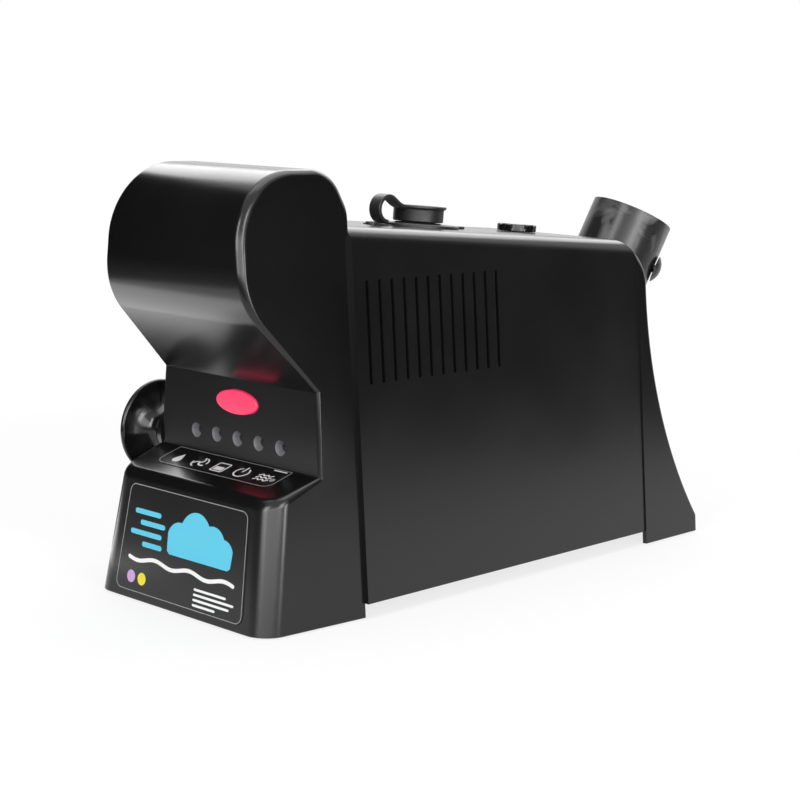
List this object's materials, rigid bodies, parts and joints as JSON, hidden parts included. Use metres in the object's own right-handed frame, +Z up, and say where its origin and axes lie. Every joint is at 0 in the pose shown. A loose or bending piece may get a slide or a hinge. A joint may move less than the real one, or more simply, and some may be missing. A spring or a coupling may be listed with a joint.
{
  "type": "ultrasonic fog machine",
  "caption": "Portable ultrasonic fog machine: leaning control tower with a round head, drafted case with side slots, tethered filler cap, flared rear stand and swivelling tube outlet.",
  "frame": {"origin": "centre of the bounding box, on the floor", "axes": "+X is the machine's right side seen from behind its control front, +Y runs from the control front to the outlet, +Z is up"},
  "size_m": [0.1532, 0.3876, 0.224],
  "materials": {
    "housing_plastic": "satin black moulding",
    "case_plastic": "fine-grained black moulding",
    "overlay_print": "glossy printed sheet",
    "label_print": "glossy printed label",
    "button_red": "translucent red, lit from behind",
    "lamp_clear": "clear lamp",
    "board_green": "soldered circuit board",
    "dark_plastic": "plain dark moulding",
    "gloss_black": "polished black moulding",
    "steel": "zinc plated",
    "rubber": "soft black rubber",
    "tank_plastic": "milky moulding",
    "brass": "plated disc",
    "aluminium": "anodised",
    "foam": "open foam",
    "float_white": "plain white"
  },
  "bodies": {
    "chassis": {"front_housing": "housing_plastic", "legend_overlay": "overlay_print", "front_label": "label_print", "status_lamps": "lamp_clear", "control_board": "board_green", "press_switch": "dark_plastic", "board_posts": "dark_plastic", "board_screws": "steel", "cord_spool": "gloss_black", "spool_screw": "steel", "power_inlet": "dark_plastic", "bulkhead": "dark_plastic", "case_cover": "case_plastic", "base_tray": "case_plastic", "rear_stand": "housing_plastic", "stand_screws": "steel", "rubber_feet": "rubber", "outlet_collar": "gloss_black", "collar_screws": "steel", "filler_flange": "rubber", "strap_stud": "rubber", "water_tank": "tank_plastic", "tank_rails": "dark_plastic", "tank_lid": "tank_plastic", "lid_seal": "rubber", "mist_head": "steel", "mist_disc": "brass", "disc_clamp": "steel", "float_stem": "float_white", "fan_frame": "dark_plastic", "fan_spindle": "steel", "fan_seal": "rubber", "mist_duct": "tank_plastic", "filter_pads": "foam", "driver_board": "board_green", "driver_posts": "aluminium", "driver_parts": "dark_plastic", "heat_sink": "aluminium"},
    "button": {"start_button": "button_red"},
    "outlet": {"outlet_stub": "gloss_black", "outlet_elbow": "gloss_black", "nozzle_tube": "gloss_black"},
    "screw": {"hose_screw": "gloss_black"},
    "cap": {"filler_cap": "rubber"},
    "vent": {"vent_cap": "gloss_black"},
    "rotor": {"fan_rotor": "dark_plastic"},
    "float": {"level_float": "float_white"}
  },
  "joints": [
    {"name": "start_press", "type": "slide", "parent": "chassis", "child": "button", "axis": [0, 1, 0], "range_m": [0, 0.0018], "stiffness_N_per_m": 600, "springref_m": -0.001},
    {"name": "outlet_swivel", "type": "hinge", "parent": "chassis", "child": "outlet", "pos_m": [0.00346, 0.12723, 0.1327], "axis": [0, 1, 0], "range_deg": [-84.7, 65.3]},
    {"name": "hose_screw_turn", "type": "hinge", "parent": "outlet", "child": "screw", "pos_m": [0.03022, 0.17169, 0.15821], "axis": [0.8214, 0.4619, -0.3345], "range_deg": [0, 720]},
    {"name": "filler_cap_swing", "type": "hinge", "parent": "chassis", "child": "cap", "pos_m": [0.00346, -0.0438, 0.1995], "axis": [1, 0, 0], "range_deg": [0, 105]},
    {"name": "vent_cap_turn", "type": "hinge", "parent": "chassis", "child": "vent", "pos_m": [0.00346, 0.0692, 0.18291], "axis": [0, 0.068, 0.9977], "range_deg": [0, 90]},
    {"name": "fan_spin", "type": "hinge", "parent": "chassis", "child": "rotor", "pos_m": [0.00346, -0.0728, 0.1327], "axis": [0, 1, 0], "continuous": true},
    {"name": "float_rise", "type": "slide", "parent": "chassis", "child": "float", "axis": [0, 0, 1], "range_m": [0, 0.022]}
  ]
}
